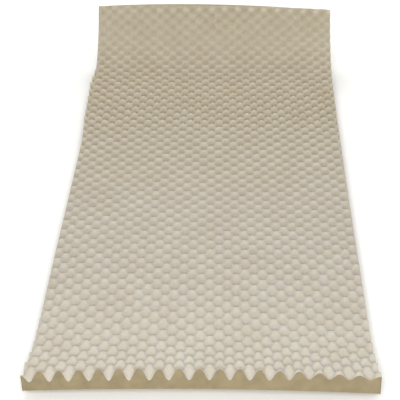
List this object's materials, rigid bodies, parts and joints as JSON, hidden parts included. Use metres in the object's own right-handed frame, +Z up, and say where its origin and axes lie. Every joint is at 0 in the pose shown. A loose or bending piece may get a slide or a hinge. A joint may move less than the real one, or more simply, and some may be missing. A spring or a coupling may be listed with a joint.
{
  "type": "mattress topper",
  "caption": "Convoluted egg-crate foam mattress topper, lying on its flat underside with both ends curled up from having been rolled.",
  "frame": {"origin": "on the floor, at the middle of the bottom of the topper's box", "axes": "+X across the topper, +Y along it towards the end that curls up most, +Z up"},
  "size_m": [0.838, 1.775, 0.2356],
  "materials": {
    "polyurethane_foam": "matt open-cell foam, convolute cut"
  },
  "bodies": {
    "root": {"foam_topper": "polyurethane_foam"}
  },
  "joints": []
}
